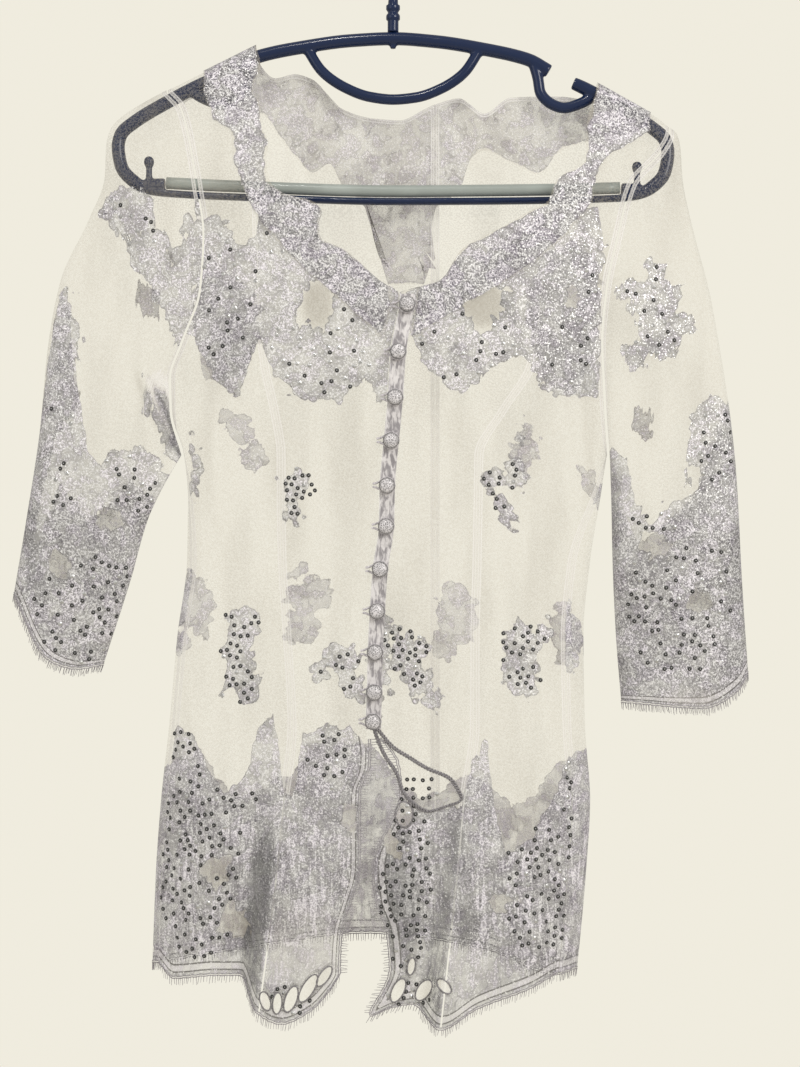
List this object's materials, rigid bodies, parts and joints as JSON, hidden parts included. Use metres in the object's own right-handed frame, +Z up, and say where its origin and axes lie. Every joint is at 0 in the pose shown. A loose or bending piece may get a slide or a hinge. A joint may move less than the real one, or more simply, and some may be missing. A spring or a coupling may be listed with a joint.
{
  "type": "sheer lace kebaya blouse on a plastic clothes hanger",
  "caption": "Sheer off-white net kebaya blouse with silver-grey corded flower lace and covered ball buttons, hung on a navy plastic hanger.",
  "frame": {"origin": "inner top of the hanger's hook, where a rail carries it", "axes": "+Z up, -Y out of the blouse's front, +X towards the wearer's left"},
  "size_m": [0.5573, 0.07, 0.8204],
  "materials": {
    "lace_net": "sheer net with corded metallic flower lace",
    "satin": "satin",
    "navy_plastic": "gloss",
    "grey_plastic": "matt"
  },
  "bodies": {
    "root": {"front_side_left": "lace_net", "front_centre_left": "lace_net", "front_centre_right": "lace_net", "front_side_right": "lace_net", "back_left": "lace_net", "back_right": "lace_net", "sleeve_left": "lace_net", "sleeve_right": "lace_net", "neck_lace_left": "lace_net", "neck_lace_right": "lace_net", "neck_lace_back": "lace_net", "placket": "satin", "edging_front_left": "lace_net", "edging_front_right": "lace_net", "edging_back": "lace_net", "edging_cuff_left": "lace_net", "edging_cuff_right": "lace_net", "hanger_frame": "navy_plastic", "hanger_bar": "grey_plastic", "hanger_hook": "navy_plastic", "button_01": "lace_net", "button_02": "lace_net", "button_03": "lace_net", "button_04": "lace_net", "button_05": "lace_net", "button_06": "lace_net", "button_07": "lace_net", "button_08": "lace_net", "button_09": "lace_net", "button_10": "lace_net", "button_11": "lace_net", "button_loop_01": "satin", "button_loop_02": "satin", "button_loop_03": "satin", "button_loop_04": "satin", "button_loop_05": "satin", "button_loop_06": "satin", "button_loop_07": "satin", "button_loop_08": "satin", "button_loop_09": "satin", "button_loop_10": "satin", "button_loop_11": "satin"}
  },
  "joints": []
}
